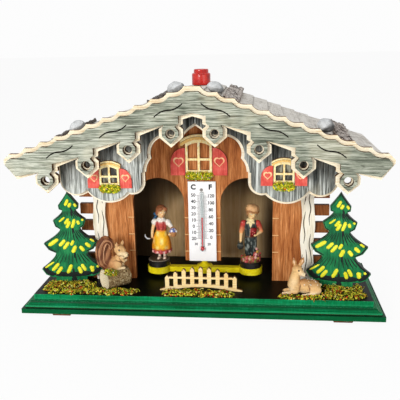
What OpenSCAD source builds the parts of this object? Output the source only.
// Weather house: a wooden chalet whose two figures swing with the damp of the air.
// Sizes in millimetres, Z up, X to the right as seen from the front, Y towards the back.

/* [Plinth] */
// Width of the bottom slab
plinth_w = 260; // [250:1:300]
// Depth of the bottom slab, front to back
plinth_d = 106; // [104:1:130]
// Thickness of the bottom slab
slab_t = 3.7; // [2.5:0.1:6]
// Height of the cove and bead moulding
mould_h = 4.3; // [3.5:0.1:7]
// Radius of the bead
bead_r = 0.9; // [0.5:0.1:1.2]
// Thickness of the top slab
deck_t = 4; // [3:0.1:7]
// How far the top slab stands in from the bottom slab
deck_in = 7.5; // [6:0.5:9]
// Distance from the plinth's front edge to the front wall
porch_d = 42; // [40:1:50]

/* [Feet] */
// Width of a foot at its top
foot_w = 16; // [10:1:24]
// Depth of a foot
foot_d = 12; // [8:1:20]
// Height of a foot
foot_h = 3; // [2:0.5:6]
// Distance from the plinth's side to a foot
foot_side = 20.5; // [10:0.5:40]
// Distance from the plinth's front or back edge to a foot
foot_edge = 4; // [2:0.5:12]

/* [Walls] */
// Width over the two side walls
house_w = 162; // [158:1:166]
// Thickness of the front wall
wall_t = 4; // [3:0.1:5]
// Thickness of a side wall
side_t = 3.5; // [2.5:0.1:5]
// Thickness of the back wall
back_t = 3.5; // [2.5:0.1:5]
// Depth of the room between front and back wall
room_d = 46.5; // [44:0.5:50]
// Length of the log ends beyond the side walls
log_out = 12.7; // [8:0.1:16]
// Height of one log end
log_h = 8; // [6:0.1:10]
// Distance from one log to the next
log_pitch = 13.3; // [12:0.1:16]
// Height of the log joints cut into the door edges
nick_h = 0.9; // [0.5:0.1:1.5]
// Length of the log joints cut into the door edges
nick_l = 4.2; // [2:0.1:6]
// Depth of the log joints cut into the door edges
nick_d = 0.6; // [0.3:0.1:1]

/* [Doorways] */
// Width of a doorway
door_w = 38.8; // [36:0.1:40]
// Distance from the middle to the centre of a doorway
door_x = 33; // [32:0.1:34]
// Height of a doorway at the top of its arch
door_h = 80.2; // [74:0.1:82]
// Room under the centre leg for the beam
leg_gap = 15.5; // [14:0.1:16]

/* [Roof] */
// Slope of the roof in degrees
roof_pitch = 20; // [18:0.5:22]
// Height of the roof's slope lines at the middle, above the plinth
ridge_h = 149; // [146:0.5:156]
// Thickness of a roof panel
roof_t = 4; // [3:0.1:5]
// Width of the flat along the ridge
ridge_flat = 10.4; // [8:0.2:14]
// Number of roof boards on each slope
board_n = 11; // [10:1:12]
// Distance from one roof board to the next
board_pitch = 10.73; // [10.4:0.01:11]
// Step between two roof boards
board_step = 0.9; // [0.3:0.1:1.5]
// Overhang of the roof behind the back wall
roof_over = 1; // [0:0.5:6]
// Overhang from the front wall to the face of the bargeboard
eaves_d = 56; // [52:1:60]
// Width of a bark batten
batten_w = 12; // [9:0.5:13]
// Thickness of a bark batten
batten_t = 4.2; // [2.5:0.1:5]
// Width of the beam under the ridge
ridge_beam_w = 14; // [10:0.5:20]
// Height of the beam under the ridge
ridge_beam_h = 10; // [8:0.5:14]

/* [Bargeboard] */
// Thickness of the grey face board
face_t = 3.5; // [2:0.1:5]
// Thickness of the pale backing board
backing_t = 3.5; // [2:0.1:5]
// Width of the pale border that the backing shows
border = 2.5; // [1.5:0.1:3]
// Height of the scallop tips above the roof
scallop_rise = 3.7; // [3:0.1:5]
// Length of the curved part of a scallop
scallop_run = 6.4; // [5:0.1:8]
// Distance from one pendant to the next
pendant_pitch = 28.15; // [27.5:0.05:28.6]
// Width of a pendant's face
pendant_w = 10.6; // [9:0.1:11.5]
// Drop from the ridge to the tip of the innermost pendants
pendant_drop = 34.3; // [33:0.1:36]
// Diameter of the hole in a pendant's face
pendant_hole = 6.4; // [4:0.1:7]
// Diameter of the hole in a pendant's backing
backing_hole = 4.6; // [3:0.1:5.5]
// Width of the engraved lines
engrave_w = 1; // [0.6:0.1:1.6]
// Depth of the engraved lines
engrave_d = 0.8; // [0.4:0.1:1.5]

/* [Gable] */
// Space between the bargeboard and the gable
gable_gap = 8; // [7:0.5:12]
// Thickness of the gable's grey face
gable_t = 3; // [2:0.1:4]
// Thickness of the gable's pale backing
gable_back_t = 3; // [2:0.1:4]
// Width of the pale border round the gable
gable_border = 2; // [1:0.1:2.5]
// Half the width of the gable
gable_half = 95; // [94:0.5:98]
// Drop from the ridge to the level where the gable's lobes begin
lobe_level = 62; // [60:0.5:63]
// Radius of the lobes next to the opening
inner_lobe_r = 9; // [8:0.1:10]
// Distance from the middle to the lobes next to the opening
inner_lobe_x = 44; // [43.5:0.1:45]
// Radius of the lobes under the side windows
mid_lobe_r = 18.9; // [18:0.1:20]
// Distance from the middle to the lobes under the side windows
mid_lobe_x = 60.5; // [59:0.1:62]
// Radius of the outer lobes
outer_lobe_r = 12.1; // [11.5:0.1:13]
// Half the width of the opening at its foot
opening_half = 35; // [33:0.1:36]
// Radius of the opening's upper bays
upper_bay_r = 11.6; // [10:0.1:12.5]
// Distance from the middle to the centre of an upper bay
upper_bay_x = 19; // [18:0.1:20]
// Drop from the ridge to the centre of an upper bay
upper_bay_drop = 43.5; // [42:0.1:45]
// Radius of the opening's lower bays
lower_bay_r = 13; // [12:0.1:14]
// Distance from the middle to the centre of a lower bay
lower_bay_x = 21; // [20:0.1:22]
// Drop from the ridge to the centre of a lower bay
lower_bay_drop = 56; // [55:0.1:57]
// Drop from the ridge to the opening's point
peak_drop = 24.8; // [23:0.1:26]

/* [Corner posts] */
// Width of a corner post
post_w = 11; // [8:0.5:12]
// Thickness of a corner post
post_t = 3; // [2:0.1:5]
// Distance from the middle to the centre of a corner post
post_x = 78; // [76:0.5:79]
// Depth of the waves along a post's edges
post_wave = 0.7; // [0.2:0.1:1]

/* [Windows] */
// Width of the centre window
centre_win_w = 19.4; // [17:0.1:21]
// Height of the centre window
centre_win_h = 24.5; // [22:0.1:26]
// Space between the scale plate and the flowers above it
plate_space = 1.2; // [0.6:0.1:3]
// Sideways place of the centre window
centre_win_x = -1.8; // [-3:0.1:3]
// Width of a side window
side_win_w = 13.6; // [12:0.1:15]
// Height of a side window
side_win_h = 14.2; // [13:0.1:15]
// Height of the side windows' sill above the plinth
side_win_z = 84.9; // [84:0.1:86]
// How much higher the right window sits than the left
right_win_up = 2; // [0:0.1:2.4]
// Distance from the middle to the centre of a side window
side_win_x = 58.6; // [56:0.1:60]
// Thickness of the window frames
frame_t = 2; // [1.2:0.1:3]
// Width of the centre frame's bars
centre_bar = 1.7; // [1:0.1:2.2]
// Width of a side frame's bars
side_bar = 1.3; // [1:0.1:2]
// Thickness of the arched heads
head_t = 3; // [2:0.1:4]
// Height of the centre window's arched head
centre_head_h = 3.8; // [2.5:0.1:4.4]
// Height of a side window's arched head
side_head_h = 2.4; // [1.8:0.1:3.4]
// How far the centre window's head stands out sideways
centre_head_out = 3.6; // [1:0.1:4]
// How far a side window's head stands out sideways
side_head_out = 1.4; // [0.6:0.1:2]
// Width of a centre shutter
centre_shut_w = 11; // [9:0.1:12]
// Height of a centre shutter
centre_shut_h = 20.5; // [18:0.1:20.5]
// Width of a side shutter
side_shut_w = 8.2; // [7:0.1:9]
// Height of a side shutter
side_shut_h = 13.7; // [12:0.1:13.7]
// How far the centre shutters reach below the sill
centre_shut_low = 2.3; // [1:0.1:3]
// How far the side shutters reach below the sill
side_shut_low = 2.4; // [1:0.1:3]
// Thickness of a shutter
shut_t = 1.6; // [1:0.1:2.5]
// Width of the heart's outline on a shutter
heart_line = 0.8; // [0.5:0.1:1.2]
// Height of the flower bunches under the windows
flower_h = 5.4; // [4:0.1:6]
// Unevenness of the flower bunches
flower_wave = 0.35; // [0.1:0.05:0.6]
// Thickness of the flower bunches
flower_t = 3.4; // [2:0.1:4]

/* [Thermometer] */
// Width of the scale plate
plate_w = 20.6; // [18:0.1:24]
// Height of the scale plate
plate_h = 62; // [50:0.5:62]
// Thickness of the scale plate
plate_t = 1.8; // [1.5:0.1:3]
// Outer diameter of the glass tube
tube_d = 2.6; // [2:0.1:3.2]
// Diameter of the glass bulb
bulb_d = 4.3; // [3.6:0.1:5]
// Bore of the glass tube
capillary_d = 1; // [0.6:0.1:1.4]
// Height of the bulb above the plate's lower edge
bulb_up = 10.2; // [8:0.1:14]
// Length of the glass tube above the bulb
tube_l = 44; // [36:0.5:46]
// Length of the red column above the bulb
column_l = 24.5; // [10:0.5:34]

/* [Balance] */
// Distance of the pivot behind the front wall
pivot_back = 6.5; // [6:0.1:9]
// Distance from the pivot to the centre of a figure
arm_r = 36; // [35:0.1:37]
// Diameter of the cups that carry the figures
cup_d = 18; // [16.5:0.1:19]
// Height of a cup
cup_h = 5; // [4:0.1:6]
// Depth of the seat in a cup
seat_d = 1.5; // [0.8:0.1:2.5]
// Width of the beam's bar
bar_w = 5; // [3:0.1:7]
// Height of the beam's bar
bar_h = 4; // [2.5:0.1:4]
// Diameter of the hub
hub_d = 12.4; // [9:0.1:14]
// Diameter of the upright
upright_d = 4.7; // [3.5:0.1:6]
// Height of the upright above the plinth
upright_h = 96; // [80:1:110]
// Room between the beam and the plinth
beam_gap = 3; // [2:0.1:3.5]
// Diameter of a figure's stand
stand_d = 16.6; // [14:0.1:17]
// Height of a figure's stand
stand_h = 5.9; // [4:0.1:6.5]
// Diameter of the gut string
gut_d = 0.8; // [0.5:0.1:1.2]

/* [Chimney knob] */
// Diameter of the knob
knob_d = 13.4; // [11.4:0.1:14]
// Height of the knob's body
knob_h = 8.4; // [5:0.1:12]
// Diameter of the knob's collar
collar_d = 10.6; // [8:0.1:11]
// Height of the knob's collar
collar_h = 2.8; // [2:0.1:5]
// Diameter of the spindle
spindle_d = 4; // [3:0.1:5]
// Length of spindle that shows below the ridge beam
spindle_out = 3; // [2.5:0.1:6]

/* [Garden] */
// Height of a tree
tree_h = 72.5; // [60:0.5:76]
// Half the width of a tree's lowest tier
tree_half = 23.2; // [20:0.1:23.6]
// Thickness of a tree
tree_t = 4; // [3:0.1:5]
// Distance from the top slab's side to the left tree's trunk
tree_side_left = 23; // [21:0.1:24]
// Distance from the top slab's side to the right tree's trunk
tree_side_right = 22.1; // [21:0.1:24]
// Distance from the front wall to a tree
tree_front = 10; // [9:0.5:11]
// Angle by which the trees are turned outwards
tree_turn = 8; // [4:1:9]
// Radius of the squirrel's log
log_r = 7.4; // [6:0.1:8]
// Length of the squirrel's log
log_l = 19.5; // [18:0.5:22]
// Width of the fretwork strip
strip_w = 61; // [50:1:62]
// Thickness of the fretwork strip
strip_t = 3; // [2:0.1:3.5]
// Height of the fretwork strip
strip_h = 18.5; // [14:0.5:20]
// Distance from the front wall to the fretwork strip
strip_front = 21; // [20:0.5:22]
// Width of a tuft of moss
tuft_w = 9.2; // [7:0.1:9.6]
// Height of the moss
moss_h = 2; // [1.2:0.1:2.6]

/* [Fit] */
// Glue line between pieces that are fixed to each other
seat = 0.05; // [0.02:0.01:0.1]
// Radial clearance of turning pieces
run_fit = 0.06; // [0.03:0.01:0.1]
// Clearance round loose garden pieces
loose = 0.3; // [0.2:0.05:0.5]

/* [Hidden] */
$fn = 48;
tp = tan(roof_pitch);
floor_z = foot_h + slab_t + mould_h + deck_t;
wall_y = -4;
wall_back = wall_y + wall_t;
room_back = wall_back + room_d;
house_back = room_back + back_t;
plinth_y = wall_y - porch_d;
deck_y = plinth_y + deck_in;
deck_half = plinth_w / 2 - deck_in;
moss_edge = deck_half - tuft_w / 2 - 2;
barge_y = wall_y - eaves_d;
backing_y = barge_y + face_t + seat;
roof_y = backing_y + backing_t + seat;
roof_back = house_back + roof_over;
gable_y = roof_y + gable_gap;
gable_back_y = gable_y + gable_t + seat;
ridge_z = floor_z + ridge_h;
roof_half = ridge_flat / 2 + board_n * board_pitch;
log_half = house_w / 2 + log_out;
leg_w = 2 * door_x - door_w;
pivot_y = wall_back + pivot_back;
cup_z = floor_z + beam_gap;
stand_z = cup_z + cup_h - seat_d + seat;
figure_z = stand_z + stand_h + seat;
flat_z = ridge_z - ridge_flat / 2 * tp;
beam_top = ridge_z - roof_t / cos(roof_pitch) - seat;
beam_low = beam_top - ridge_beam_h - ridge_beam_w / 2 * tp;
spindle_low = beam_low - spindle_out;
gut_in = 2;
plate_z = floor_z + leg_gap + 0.3;
centre_win_z = plate_z + plate_h + plate_space + flower_h + 2 * seat + flower_wave;
tube_y = wall_y - seat - plate_t - 0.9;
bulb_z = plate_z + bulb_up;
tree_y = wall_y - tree_front;
log_at = [16.5 - house_w / 2, wall_y - 17.5];
log_turn = 41;
fawn_at = [house_w / 2 - 8, wall_y - 23.5];
strip_y = wall_y - strip_front;

function under(x) = ridge_z - roof_t / cos(roof_pitch) - abs(x) * tp;
function side_sill_z(s) = floor_z + side_win_z + (s > 0 ? right_win_up : 0);
function slope_z(x) = ridge_z - abs(x) * tp;

// A flat profile drawn in X and Z, standing upright from y towards the back
module upright(y, t) {
    translate([0, y + t, 0]) rotate([90, 0, 0]) linear_extrude(t) children();
}

// The same profile on both sides of the middle
module both() {
    children();
    mirror([1, 0, 0]) children();
}

// A round limb from a to b with ball ends
module limb(a, b, ra, rb) {
    d = b - a;
    l = norm(d);
    translate(a) rotate([0, acos(d[2] / l), atan2(d[1], d[0])]) cylinder(h = l, r1 = ra, r2 = rb);
    translate(a) sphere(ra * 1.04);
    translate(b) sphere(rb * 1.04);
}

// Plinth

module slab(inset, z, t) {
    translate([-plinth_w / 2 + inset, plinth_y + inset, z])
        cube([plinth_w - 2 * inset, plinth_d - 2 * inset, t]);
}

module edge_rods(inset, z, r) {
    w = plinth_w - 2 * inset;
    d = plinth_d - 2 * inset;
    for (s = [0, 1]) {
        translate([-w / 2, plinth_y + inset + s * d, z]) rotate([0, 90, 0]) cylinder(h = w, r = r);
        translate([(s - 0.5) * w, plinth_y + inset, z]) rotate([-90, 0, 0]) cylinder(h = d, r = r);
    }
}

module base_plinth() color("seagreen") {
    bead_z = foot_h + slab_t + bead_r;
    bead_in = deck_in * 0.36;
    cove_r = mould_h - 2 * bead_r;
    slab(0, foot_h, slab_t);
    slab(bead_in, foot_h + slab_t, 2 * bead_r);
    edge_rods(bead_in, bead_z, bead_r * 0.98);
    difference() {
        slab(bead_in, foot_h + slab_t + 2 * bead_r, cove_r);
        edge_rods(bead_in, floor_z - deck_t, cove_r);
    }
    slab(deck_in, floor_z - deck_t, deck_t);
}

module plinth_feet() color("saddlebrown") {
    x = plinth_w / 2 - foot_side - foot_w / 2;
    for (sx = [-1, 1], y = [plinth_y + foot_edge, plinth_y + plinth_d - foot_edge - foot_d])
        translate([sx * x, y + foot_d, 0]) rotate([90, 0, 0]) linear_extrude(foot_d)
            polygon([[-foot_w / 2 + 1.6, 0], [foot_w / 2 - 1.6, 0],
                     [foot_w / 2, foot_h - seat], [-foot_w / 2, foot_h - seat]]);
}

// Walls

module wall_profile(half) {
    top = seat;
    polygon([[-half, floor_z + seat], [half, floor_z + seat], [half, under(half) - top],
             [0, under(0) - top], [-half, under(half) - top]]);
}

module front_wall() color("peru") difference() {
    upright(wall_y, wall_t) difference() {
        wall_profile(log_half);
        // Doorways with round arches
        for (s = [-1, 1]) translate([s * door_x, floor_z]) {
            translate([-door_w / 2, -1]) square([door_w, door_h - door_w / 2 + 1]);
            translate([0, door_h - door_w / 2]) circle(d = door_w);
        }
        // Room for the beam under the centre leg
        translate([-leg_w / 2 - 1, floor_z - 1]) square([leg_w + 2, leg_gap + 1]);
        // Gaps between the log ends
        for (k = [0:8], s = [0, 1]) mirror([s, 0])
            translate([house_w / 2 + 0.2, floor_z + log_h - 1.1 + k * log_pitch])
                square([log_out + 1, log_pitch - log_h]);
    }
    // Log joints on the edges of the doorways
    for (k = [2:4], s = [-1, 1], x = [leg_w / 2 - nick_l, door_x + door_w / 2])
        translate([s * (x + nick_l / 2) - nick_l / 2 - 0.2, wall_y - 1,
                   floor_z + k * log_pitch + (log_h - 1.1 + log_pitch - 1.1) / 2 - log_pitch - nick_h / 2])
            cube([nick_l + 0.4, 1 + nick_d, nick_h]);
}

module back_wall() color("olivedrab") {
    upright(room_back + seat, back_t - seat) wall_profile(house_w / 2);
}

module side_wall(s) color("saddlebrown") {
    outer = house_w / 2;
    inner = outer - side_t;
    upright(wall_back + seat, room_d - seat)
        polygon([[s * inner, floor_z + seat], [s * outer, floor_z + seat],
                 [s * outer, under(outer) - seat], [s * inner, under(inner) - seat]]);
}

module ridge_beam() color("burlywood") difference() {
    upright(wall_back + seat, room_d - seat)
        polygon([[-ridge_beam_w / 2, beam_low], [ridge_beam_w / 2, beam_low],
                 [ridge_beam_w / 2, under(ridge_beam_w / 2) - seat], [0, under(0) - seat],
                 [-ridge_beam_w / 2, under(ridge_beam_w / 2) - seat]]);
    translate([0, pivot_y, beam_low - 1]) cylinder(h = ridge_beam_h + 10, d = spindle_d + 2 * run_fit);
}

// Roof

module roof_panel(s) color("rosybrown") difference() {
    upright(roof_y, roof_back - roof_y) mirror([s < 0 ? 1 : 0, 0]) polygon(concat(
        [[seat, under(0)], [seat, flat_z], [ridge_flat / 2, flat_z]],
        [for (k = [0:board_n - 1], e = [0, 1])
            let (x = ridge_flat / 2 + (k + e) * board_pitch) [x, slope_z(x) - (1 - e) * board_step]],
        [[roof_half, under(roof_half)]]));
    translate([0, pivot_y, under(0) - 5]) cylinder(h = 20, d = spindle_d + 2 * run_fit);
}

// Battens of bark: side, distance from the middle at the front, and drift towards the back
battens = [[1, 18.2, 0], [-1, 18.2, 0], [1, 89.5, 8], [-1, 83.2, 8]];
// Stones: side, distance from the middle, distance behind the bargeboard, half width, half height
stones = [[1, 12, 19, 5.8, 3.9], [-1, 12, 19, 5.7, 4.2], [1, 84.4, 19, 5.9, 4.8], [-1, 77.2, 7, 5.6, 4.1]];

module on_slope(s, x) {
    translate([s * x, 0, slope_z(x) + seat]) rotate([0, s * roof_pitch, 0]) children();
}

module roof_battens() color("dimgray") {
    l = roof_back - roof_y - 2 * seat;
    for (b = battens) on_slope(b[0], b[1]) translate([0, roof_y + seat, 0])
        linear_extrude(batten_t) polygon(concat(
            [for (i = [0:10]) [b[0] * (0.5 + 0.5 * sin(i * 97) + b[2] * i / 10), l * i / 10]],
            [for (i = [10:-1:0]) [b[0] * (batten_w - 0.6 - 0.6 * sin(i * 131 + 40) + b[2] * i / 10), l * i / 10]]));
}

module stone(a, b) {
    rotate_extrude() polygon([for (i = [0:12]) [a * cos(-90 + 15 * i) + (i == 0 || i == 12 ? 0 : 0.001),
                                                b * sin(-90 + 15 * i)]]);
}

module roof_stones() color("lightgray") {
    for (t = stones) on_slope(t[0], t[1]) translate([0, roof_y + t[2], t[4] + seat]) stone(t[3], t[4]);
}

// Bargeboard, where d is how far the backing stands out beyond the face

function pendant_at(j) = [(j + 0.5) * pendant_pitch, ridge_z - pendant_drop - j * pendant_pitch * tp];

// Outline of one pendant from its inner neck round the tip to its outer neck
function pendant_edge(j, d) = let (p = pendant_at(j), w = pendant_w / 2 + d) [
    p + [-w, 18 - 1.02 * d], p + [-w, 13.4 - 0.4 * d], p + [2.4 - w, 11.2], p + [-w, 8.2 + 0.4 * d],
    p + [-w, 5 - 0.4 * d], p + [0, -1.1 * d], p + [w, 5 - 0.4 * d], p + [w, 9.6 - 0.2 * d],
    p + [4 + 0.8 * d, 12.3 - 0.6 * d]];

module barge_half(d, hole) {
    i = border - d;
    drop = board_pitch * tp;
    scoop_r = (scallop_run * scallop_run + drop * drop) / (2 * drop);
    tip_x = roof_half;
    top_z = ridge_z + scallop_rise;
    tip_z = top_z - tip_x * tp;
    difference() {
        polygon(concat(
            [[0, top_z - ridge_flat / 2 * tp - 1.2 * i], [0, ridge_z - 14.4 - 1.03 * d]],
            [for (j = [0:3]) each pendant_edge(j, d)],
            [[tip_x - 4.2 - 0.2 * i, tip_z - 17 + 1.08 * i], [tip_x + 4.1 - 0.9 * i, tip_z - 6.3 - 0.3 * i],
             [tip_x + 4 - 1.1 * i, tip_z - 3.9 - 0.4 * i], [tip_x - 0.2 * i, tip_z - 1.2 * i],
             [ridge_flat / 2, top_z - ridge_flat / 2 * tp - 1.2 * i]]));
        // Scallops: a curved drop and then a level run
        for (k = [0:board_n - 1])
            let (x = ridge_flat / 2 + k * board_pitch, z = top_z - (x + board_pitch) * tp) {
                translate([x + scallop_run, z + scoop_r]) circle(scoop_r + i);
                translate([x + scallop_run, z - i]) square([board_pitch - scallop_run, 20]);
            }
        for (j = [0:3]) translate(pendant_at(j)) translate([0, 6.5]) circle(d = hole);
    }
}

// A slightly curling engraved line from a to b
module curl_line(a, b) {
    n = 12;
    function at(t) = a + (b - a) * t + [0, -1.1 * sin(360 * t)];
    polygon(concat([for (i = [0:n]) at(i / n) + [0, engrave_w / 2]],
                   [for (i = [n:-1:0]) at(i / n) - [0, engrave_w / 2]]));
}

module bargeboard_backing() color("navajowhite") {
    upright(backing_y, backing_t) both() barge_half(border, backing_hole);
}

module bargeboard_face() color("slategray") difference() {
    upright(barge_y, face_t) both() barge_half(0, pendant_hole);
    for (k = [0:2]) upright(barge_y - 1, 1 + engrave_d) both()
        translate([k * 36.2 + 5.8, ridge_z - 8.6 - k * 36.2 * tp]) curl_line([0, 0], [18.4, -8.3]);
}

// Gable, where i is how far the edge stands in from the backing's edge

module gable_half_profile(i) {
    bay_top = upper_bay_drop - upper_bay_r;
    difference() {
        union() {
            polygon([[0, under(0) - seat], [0, ridge_z - lobe_level], [gable_half - i, ridge_z - lobe_level],
                     [gable_half - i, under(gable_half) - seat]]);
            translate([inner_lobe_x, ridge_z - lobe_level - 1]) circle(inner_lobe_r - i);
            translate([mid_lobe_x, ridge_z - lobe_level + 3]) circle(mid_lobe_r - i);
            translate([gable_half - outer_lobe_r, ridge_z - lobe_level + 1]) circle(outer_lobe_r - i);
        }
        // The arched opening: two bays on each side and a pointed top
        translate([upper_bay_x, ridge_z - upper_bay_drop]) circle(upper_bay_r + i);
        translate([lower_bay_x, ridge_z - lower_bay_drop]) circle(lower_bay_r + i);
        translate([-1, ridge_z - 2 * lobe_level]) square([lower_bay_x + 1, 2 * lobe_level - bay_top - 0.6 + i]);
        translate([-1, ridge_z - 2 * lobe_level]) square([opening_half + i + 1, 2 * lobe_level - lower_bay_drop]);
        polygon([[-1, ridge_z - bay_top - 2], [upper_bay_x - 6, ridge_z - bay_top - 1.1 + i],
                 [upper_bay_x * 0.4, ridge_z - (bay_top * 0.87 + peak_drop * 0.13) + i],
                 [upper_bay_x * 0.22, ridge_z - (bay_top * 0.4 + peak_drop * 0.6) + i],
                 [0, ridge_z - peak_drop + i], [-1, ridge_z - peak_drop + i]]);
    }
}

module gable_backing() color("navajowhite") {
    upright(gable_back_y, gable_back_t) both() gable_half_profile(0);
}

module gable_face() color("lightslategray") {
    upright(gable_y, gable_t) both() gable_half_profile(gable_border);
}

// Corner posts of barked wood

module corner_post(s) color("antiquewhite") {
    n = 18;
    z0 = floor_z + seat;
    h = under(post_x + post_w / 2 + post_wave) - seat - z0;
    upright(wall_y - seat - post_t, post_t) polygon(concat(
        [for (i = [0:n]) [s * post_x + s * (post_w / 2 + post_wave * (sin(i * 62) - 1)), z0 + h * i / n]],
        [for (i = [n:-1:0]) [s * post_x - s * (post_w / 2 + post_wave * (sin(i * 71 + 50) - 1)), z0 + h * i / n]]));
}

// Windows

function arch_r(w, rise) = (w * w / 4 + rise * rise) / (2 * rise);

module arched(w, h, rise, z) {
    r = arch_r(w, rise);
    intersection() {
        translate([-w / 2, z]) square([w, h + 1]);
        union() {
            translate([0, z + h - r]) circle(r);
            translate([-w, z - 1]) square([2 * w, h - rise + 0.9]);
        }
    }
}

module window(x, z, w, h, rise, bar, head_h, head_out, y) {
    r = arch_r(w, rise);
    upright(y - frame_t, frame_t) translate([x, 0]) difference() {
        arched(w, h, rise, z);
        difference() {
            arched(w - 2 * bar, h - 2.5 * bar, rise * 0.8, z + bar);
            translate([-bar / 2, z]) square([bar, h]);
            translate([-w / 2, z + h * 0.36]) square([w, bar]);
        }
    }
    // Arched head over the frame
    upright(y - head_t, head_t) translate([x, z + h - r]) intersection() {
        difference() {
            circle(r + head_h);
            circle(r - 0.3);
        }
        translate([-w / 2 - head_out, r - rise - head_out * 0.5])
            square([w + 2 * head_out, rise + head_h + head_out]);
    }
}

module heart(s) {
    rotate(45) square(s);
    translate([s * 0.3536, s * 1.0607]) circle(d = s);
    translate([-s * 0.3536, s * 1.0607]) circle(d = s);
}

module shutter(w, h) {
    r = w - 0.4;
    hs = w * 0.42;
    difference() {
        union() {
            translate([0.2, 0]) square([w - 0.2, h - r]);
            intersection() {
                translate([0.2, h - r - 0.5]) square([r, r + 0.5]);
                translate([0.2, h - r]) circle(r);
            }
        }
        translate([w * 0.46, h * 0.3]) heart(hs);
    }
    translate([w * 0.46, h * 0.3 + heart_line * 1.2]) heart(hs - heart_line * 1.6);
}

module shutters(x, z, w, sw, sh, y) {
    for (s = [-1, 1]) {
        upright(y - shut_t, shut_t) translate([x + s * (w / 2 + 0.2), z]) mirror([s < 0 ? 1 : 0, 0])
            shutter(sw, sh);
        // The heart's outline is cut to half depth
        upright(y - shut_t / 2, shut_t / 2) translate([x + s * (w / 2 + 0.2), z]) mirror([s < 0 ? 1 : 0, 0])
            translate([sw * 0.46, sh * 0.3]) heart(sw * 0.42);
    }
}

module flower_bunch(x, z, w, y) {
    n = round(w / 2.6);
    r = flower_h / 2;
    upright(y - flower_t, flower_t) translate([x, z - seat - r]) intersection() {
        union() for (i = [0:n - 1])
            translate([-w / 2 + r + (w - 2 * r) * i / (n - 1), flower_wave * sin(i * 140)]) circle(r);
        translate([-w / 2, -r - 1]) square([w, 2 * r + 1]);
    }
}

module window_centre() color("khaki") {
    window(centre_win_x, centre_win_z, centre_win_w, centre_win_h, 2.7, centre_bar,
           centre_head_h, centre_head_out, wall_y - seat);
}

module shutters_centre() color("indianred") {
    shutters(centre_win_x, centre_win_z - centre_shut_low, centre_win_w, centre_shut_w, centre_shut_h,
             wall_y - seat);
}

module flowers_centre() color("yellowgreen") {
    flower_bunch(centre_win_x, centre_win_z, centre_win_w, wall_y - seat);
}

module window_side(s) color("khaki") {
    window(s * side_win_x, side_sill_z(s), side_win_w, side_win_h, 2, side_bar,
           side_head_h, side_head_out, gable_y - seat);
}

module shutters_side(s) color("indianred") {
    shutters(s * side_win_x, side_sill_z(s) - side_shut_low, side_win_w, side_shut_w, side_shut_h,
             gable_y - seat);
}

module flowers_side(s) color("yellowgreen") {
    flower_bunch(s * side_win_x, side_sill_z(s), side_win_w, gable_y - seat);
}

// Thermometer

module thermometer_glass(grow) {
    translate([0, tube_y, bulb_z]) {
        cylinder(h = tube_l, d = tube_d + 2 * grow);
        sphere(d = bulb_d + 2 * grow);
    }
}

module thermometer_plate() color("white") difference() {
    translate([-plate_w / 2, wall_y - seat - plate_t, plate_z]) cube([plate_w, plate_t, plate_h]);
    thermometer_glass(seat);
}

module thermometer_tube() color("lightcyan") difference() {
    thermometer_glass(0);
    translate([0, tube_y, bulb_z]) cylinder(h = tube_l - 1, d = capillary_d);
    translate([0, tube_y, bulb_z]) sphere(d = bulb_d - 1);
}

module thermometer_spirit() color("crimson") {
    translate([0, tube_y, bulb_z]) {
        cylinder(h = column_l, d = capillary_d - 2 * seat);
        sphere(d = bulb_d - 1 - 2 * seat);
    }
}

// Garden

// Half of a tree: each tier flares out to a tip and springs back
tier_half = [0.32, 0.52, 0.875, 1];
tier_z = [0.856, 0.694, 0.446, 0.166];
neck_half = [0.2, 0.31, 0.5, 0.66];
neck_z = [0.8, 0.597, 0.338, 0.072];

function tier_side(k) = let (
    x0 = k == 0 ? 0 : neck_half[k - 1] * tree_half,
    z0 = k == 0 ? tree_h : neck_z[k - 1] * tree_h,
    x1 = tier_half[k] * tree_half,
    z1 = tier_z[k] * tree_h)
    concat([for (i = [1:6]) let (t = i / 6) [x0 + (x1 - x0) * pow(t, k == 0 ? 1.1 : 1.5), z0 + (z1 - z0) * t]],
           [[(x1 + neck_half[k] * tree_half) / 2 + 1, (z1 + neck_z[k] * tree_h) / 2 - 1.2],
            [neck_half[k] * tree_half, neck_z[k] * tree_h]]);

module tree_profile() {
    side = concat(tier_side(0), tier_side(1), tier_side(2), tier_side(3));
    n = len(side);
    polygon(concat([[0, tree_h]], side,
                   [[10.7, neck_z[3] * tree_h], [10.7, 0], [3.2, 0], [2.8, 4], [-1.2, 4], [-1.6, 0],
                    [-13, 0], [-13, neck_z[3] * tree_h]],
                   [for (i = [n - 1:-1:0]) [-side[i][0], side[i][1]]]));
}

module place_tree(s) {
    x = s < 0 ? tree_side_left - deck_half : deck_half - tree_side_right;
    translate([x, tree_y, floor_z + seat]) rotate([0, 0, -s * tree_turn]) children();
}

module tree(s) color("forestgreen") {
    place_tree(s) upright(-tree_t / 2, tree_t) tree_profile();
}

module log_solid(grow) {
    translate([log_at[0], log_at[1], floor_z + log_r + seat]) rotate([0, 90, log_turn])
        translate([0, 0, -log_l / 2 - grow]) cylinder(h = log_l + 2 * grow, r = log_r + grow);
}

module squirrel_log() color("tan") difference() {
    log_solid(0);
    // A ring of bark stands proud of the sawn end
    translate([log_at[0], log_at[1], floor_z + log_r + seat]) rotate([0, 90, log_turn])
        translate([0, 0, -log_l / 2 - 1]) cylinder(h = 1.5, r = log_r - 1.1);
}

module blob(list) {
    hull() for (p = list) translate([p[0], p[1], p[2]]) sphere(p[3], $fn = 18);
}

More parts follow.
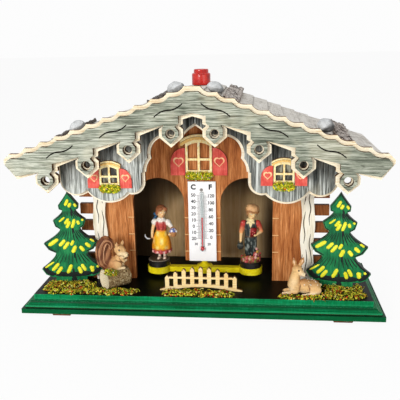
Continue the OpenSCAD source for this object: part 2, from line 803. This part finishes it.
module squirrel() color("sandybrown") difference() {
    translate([log_at[0] + 1, log_at[1] + 1.5, floor_z + 2 * log_r - 0.9]) rotate([0, 0, 20]) {
        // Body, haunches, head and forelegs
        blob([[-1.5, 0, 5.4, 5], [2, 0, 10.9, 3.6], [-3, 0, 2.9, 4.4]]);
        blob([[0.5, -2.8, 3.9, 3.2], [3.6, -2.6, 1.6, 1.3]]);
        blob([[0.5, 2.8, 3.9, 3.2], [3.6, 2.6, 1.6, 1.3]]);
        blob([[3.4, 0, 15.3, 3.4], [7, 0, 13.3, 1.5]]);
        blob([[3.2, -2, 9.3, 1.3], [7, -0.9, 8.1, 1.2]]);
        blob([[3.2, 2, 9.3, 1.3], [7, 0.9, 8.1, 1.2]]);
        // Bushy tail and pointed ears
        blob([[-8.6, 0, 5, 3], [-10.4, 0, 15, 4], [-9, 0, 22, 3.4], [-6, 0, 6, 2.4]]);
        for (s = [-1, 1]) translate([2.6, s * 1.9, 17.5]) rotate([s * -12, -8, 0])
            cylinder(h = 4.6, r1 = 1.3, r2 = 0.3);
    }
    // The body sits on the log's round back
    log_solid(seat);
}

module fawn() color("burlywood") {
    translate([fawn_at[0], fawn_at[1], floor_z + seat]) difference() {
        union() {
            // Lying body, folded legs, neck, head with muzzle
            blob([[-4.5, 0, 5.4, 5], [8, 0.5, 5, 5.4], [2, 0.4, 5.4, 4.8]]);
            blob([[10.4, -2.6, 3.2, 3.4], [4, -5.2, 1.4, 1.5]]);
            blob([[-4, -3, 2.4, 2], [-13, -3.6, 1.1, 1.1]]);
            blob([[-4, 2, 2.4, 2], [-12, 2.4, 1.1, 1.1]]);
            blob([[-6, 0, 7, 4], [-3.4, -0.6, 17.6, 2.6]]);
            blob([[-2.8, -0.8, 19, 3.5], [1.6, -3.4, 14.8, 1.7]]);
            blob([[-4.6, 0, 22, 0.9], [-6.4, 0.3, 25.6, 1.3], [-6.8, 0.4, 28, 0.4]]);
            translate([0, -0.2, 21.4]) rotate([0, 24, 0]) cylinder(h = 6.4, r1 = 1.5, r2 = 0.4);
        }
        translate([-30, -30, -10]) cube([60, 60, 10]);
    }
}

// A bowed rail with a row of pickets
function rail_z(x) = 5.6 - 4.8 * pow(2 * x / strip_w, 2);

module strip_profile() {
    half = strip_w / 2;
    gap = strip_w / 9.8;
    cross_z = strip_h * 0.5;
    difference() {
        polygon(concat(
            [[-half, 0], [-half, rail_z(half)]],
            [for (i = [-4:4]) let (x = i * gap, top = strip_h - i * i * 0.42)
                each [[x - 1.5, i == -4 ? rail_z(x - 1.5) : cross_z + 1.6], [x - 1.5, top - 1.7], [x, top],
                      [x + 1.5, top - 1.7], [x + 1.5, i == 4 ? rail_z(x + 1.5) : cross_z + 1.6]]],
            [[half, rail_z(half)], [half, 0]],
            [for (i = [8:-1:-8]) let (x = i * gap / 2) [x, max(0, rail_z(x) - 2.6)]]));
        for (i = [-4:3]) let (z = rail_z((i + 0.5) * gap))
            translate([i * gap + 1.5, z]) square([gap - 3, cross_z - z]);
    }
}

module fretwork_strip() color("wheat") {
    translate([0, 0, floor_z + seat]) upright(strip_y - strip_t / 2, strip_t) strip_profile();
}

// Moss: low tufts in a scattered band, clear of what stands in it
module tufts(x0, x1, y0, y1, n, grain) {
    for (i = [0:n - 1]) {
        u = (i + 0.5) / n;
        v = 0.5 + 0.5 * sin(i * 137.5 + grain);
        translate([x0 + (x1 - x0) * u, y0 + (y1 - y0) * v, floor_z + seat])
            cylinder(h = moss_h * (0.75 + 0.25 * sin(i * 77)), d1 = tuft_w, d2 = tuft_w * 0.6);
    }
}

module tree_foot(s) {
    place_tree(s) translate([-13 - loose, -tree_t / 2 - loose, -1])
        cube([23.7 + 2 * loose, tree_t + 2 * loose, 12]);
}

front_edge = deck_y + tuft_w / 2 + 0.2;

module moss_left() color("olivedrab") difference() {
    union() {
        tufts(-moss_edge, log_at[0] - 15.5, front_edge, front_edge + 10, 13, 20);
        tufts(log_at[0] - 17.5, log_at[0] + 14.5, front_edge, front_edge + 3, 9, 60);
        tufts(-moss_edge, 34 - deck_half, tree_y - 6, tree_y - 3, 7, 10);
    }
    tree_foot(-1);
    log_solid(loose);
}

module moss_middle() color("olivedrab") difference() {
    tufts(5.5 - strip_w / 2, strip_w / 2 - 8.5, strip_y - 8.5, strip_y - 6.5, 13, 0);
    translate([-strip_w, strip_y - strip_t / 2 - loose, floor_z]) cube([2 * strip_w, 30, 30]);
}

module moss_right() color("olivedrab") difference() {
    union() {
        tufts(fawn_at[0] + 17, moss_edge, front_edge, front_edge + 10, 10, 200);
        tufts(fawn_at[0] - 13, fawn_at[0] + 19, front_edge, front_edge + 0.4, 9, 130);
        tufts(fawn_at[0] + 17, moss_edge, tree_y - 6, tree_y - 3, 6, 80);
    }
    tree_foot(1);
    translate([fawn_at[0] - 14.4 - loose, fawn_at[1] - 6.8 - loose, floor_z]) cube([29.2 + 2 * loose, 30, 30]);
}

// Balance with its figures

module chimney_knob() color("firebrick") {
    z0 = flat_z + loose;
    r = knob_d / 2;
    c = collar_d / 2;
    translate([0, pivot_y, 0]) difference() {
        rotate_extrude() polygon([
            [0, spindle_low], [spindle_d / 2, spindle_low], [spindle_d / 2, z0], [r - 0.6, z0], [r, z0 + 0.6],
            [r, z0 + knob_h - 0.8], [r - 0.8, z0 + knob_h], [c, z0 + knob_h + 0.3],
            [c, z0 + knob_h + collar_h - 0.7], [c - 0.7, z0 + knob_h + collar_h], [0, z0 + knob_h + collar_h]]);
        translate([0, 0, spindle_low - 1]) cylinder(h = gut_in + 1, d = gut_d + 2 * run_fit);
    }
}

module gut_string() color("ivory") {
    low = floor_z + upright_h - gut_in + seat;
    translate([0, pivot_y, low]) cylinder(h = spindle_low + gut_in - 0.2 - low, d = gut_d);
}

module balance_beam() color("gold") translate([0, pivot_y, cup_z]) difference() {
    union() {
        for (s = [-1, 1]) translate([s * arm_r, 0, 0]) cylinder(h = cup_h, d = cup_d);
        translate([-arm_r, -bar_w / 2, 0]) cube([2 * arm_r, bar_w, bar_h]);
        cylinder(h = cup_h, d = hub_d);
        translate([0, 0, cup_h]) cylinder(h = 1.6, d1 = hub_d * 0.8, d2 = upright_d + 0.6);
        cylinder(h = upright_h - beam_gap, d = upright_d);
    }
    for (s = [-1, 1]) translate([s * arm_r, 0, cup_h - seat_d]) cylinder(h = 10, d = stand_d + 2 * seat);
    translate([0, 0, upright_h - beam_gap - gut_in]) cylinder(h = 10, d = gut_d + 2 * seat);
}

module figure_stands() color("black") {
    for (s = [-1, 1]) translate([s * arm_r, pivot_y, stand_z]) {
        cylinder(h = stand_h - 0.8, d = stand_d);
        translate([0, 0, stand_h - 0.8]) cylinder(h = 0.8, d1 = stand_d, d2 = stand_d - 1.6);
    }
}

module girl_figure() color("goldenrod") translate([-arm_r, pivot_y, figure_z]) {
    // Ground, shoes and legs
    cylinder(h = 1.2, r1 = 7.2, r2 = 6);
    for (s = [-1, 1]) {
        translate([s * 2, 0, 1]) cylinder(h = 4, r = 1.2);
        limb([s * 2, -0.4, 1.9], [s * 2.2, -2.6, 1.7], 1.1, 0.9);
    }
    // Skirt and bodice turned as one
    rotate_extrude() polygon([[0, 3.4], [7.6, 3.4], [8, 4.4], [7.3, 10], [6.2, 16], [4.6, 21.4], [3.7, 23.6],
                              [3.9, 25.4], [4.7, 29], [4.3, 31.6], [2.2, 33.6], [1.7, 35.4], [0, 35.4]]);
    // Apron over the front of the skirt
    intersection() {
        rotate_extrude() polygon([[0, 6.2], [8.1, 6.2], [7.9, 10], [6.7, 16], [5.1, 21.4], [4.2, 23.4], [0, 23.4]]);
        translate([-5.6, -12, 0]) cube([11.2, 11, 40]);
    }
    // Puffed sleeves and arms
    for (s = [-1, 1]) translate([s * 5, 0, 30.2]) sphere(2.6);
    limb([-5.6, 0, 28.6], [-7.2, -2.2, 19.4], 1.5, 1.1);
    limb([5.8, 0, 28.6], [8.2, -1.6, 23], 1.5, 1.2);
    limb([8.2, -1.6, 23], [6.4, -5.2, 22.2], 1.2, 1);
    // Basket on the bent arm and sickle in the hanging hand
    translate([9.4, -4.2, 16.6]) cylinder(h = 5.2, r1 = 2.4, r2 = 3.2);
    limb([-7.2, -2.2, 19.4], [-8.2, -3.4, 18.4], 0.9, 0.6);
    translate([-8.3, -3.4, 20.6]) rotate([90, 0, 0]) rotate(-100) rotate_extrude(angle = 200)
        translate([2.2, 0]) circle(0.5);
    // Head with hair and knot
    translate([0, -0.3, 38.8]) sphere(4);
    difference() {
        translate([0, 0.4, 39.4]) sphere(4.5);
        translate([-6, -9, 30]) cube([12, 7.6, 11]);
    }
    translate([0, 4.2, 38]) sphere(2);
}

module boy_figure() color("darkslategray") translate([arm_r, pivot_y, figure_z]) {
    // Ground with stones and flowers round the feet
    cylinder(h = 2, r1 = 7.4, r2 = 6.4);
    for (i = [0:4]) rotate(i * 58 + 190) translate([5.2, 0, 2.4]) sphere(1.5 + 0.4 * sin(i * 90));
    // Boots and trousers
    for (s = [-1, 1]) {
        limb([s * 2.3, -0.2, 3], [s * 2.5, -2.6, 2.8], 1.5, 1.3);
        limb([s * 2.2, 0, 3], [s * 2, 0, 19], 1.9, 2.4);
    }
    // Vest and shirt turned as one
    rotate_extrude() polygon([[0, 16.4], [4.4, 16.4], [4.6, 19], [4.1, 22], [4.7, 28], [4.6, 31.4], [2.4, 33.6],
                              [1.8, 36], [0, 36]]);
    for (s = [-1, 1]) translate([s * 5.2, 0, 30.4]) sphere(2.4);
    // One arm hangs with a bag, the other holds a small book
    limb([-5.6, 0, 29.6], [-7, -1, 22.6], 1.9, 1.7);
    limb([-7, -1, 22.6], [-7.6, -2.2, 16.4], 1.3, 1.1);
    translate([-8, -3, 12]) cylinder(h = 4, r1 = 2.2, r2 = 1.4);
    limb([5.6, 0, 29.6], [7.4, -1.6, 23.4], 1.9, 1.7);
    limb([7.4, -1.6, 23.4], [2.6, -5.4, 22.4], 1.3, 1);
    translate([-0.4, -6.9, 21.4]) rotate([12, 0, 18]) cube([4.6, 1.4, 5.6]);
    // Head, hair and a brimmed hat
    translate([0, -0.3, 39.4]) sphere(4.1);
    translate([0, 0.5, 39.8]) sphere(4.3);
    translate([0, 0, 42]) rotate([-8, 0, 0]) {
        cylinder(h = 0.8, r = 5.6);
        cylinder(h = 3.4, r1 = 4, r2 = 3.2);
    }
}

base_plinth();
plinth_feet();
front_wall();
back_wall();
side_wall(-1);  // side_wall_left
side_wall(1);  // side_wall_right
ridge_beam();
roof_panel(-1);  // roof_left
roof_panel(1);  // roof_right
roof_battens();
roof_stones();
gable_backing();
gable_face();
bargeboard_backing();
bargeboard_face();
corner_post(-1);  // corner_post_left
corner_post(1);  // corner_post_right
window_centre();
window_side(-1);  // window_left
window_side(1);  // window_right
shutters_centre();
shutters_side(-1);  // shutters_left
shutters_side(1);  // shutters_right
flowers_centre();
flowers_side(-1);  // flowers_left
flowers_side(1);  // flowers_right
thermometer_plate();
thermometer_tube();
thermometer_spirit();
tree(-1);  // tree_left
tree(1);  // tree_right
squirrel_log();
squirrel();
fawn();
fretwork_strip();
moss_left();
moss_middle();
moss_right();
chimney_knob();
gut_string();
balance_beam();
figure_stands();
girl_figure();
boy_figure();
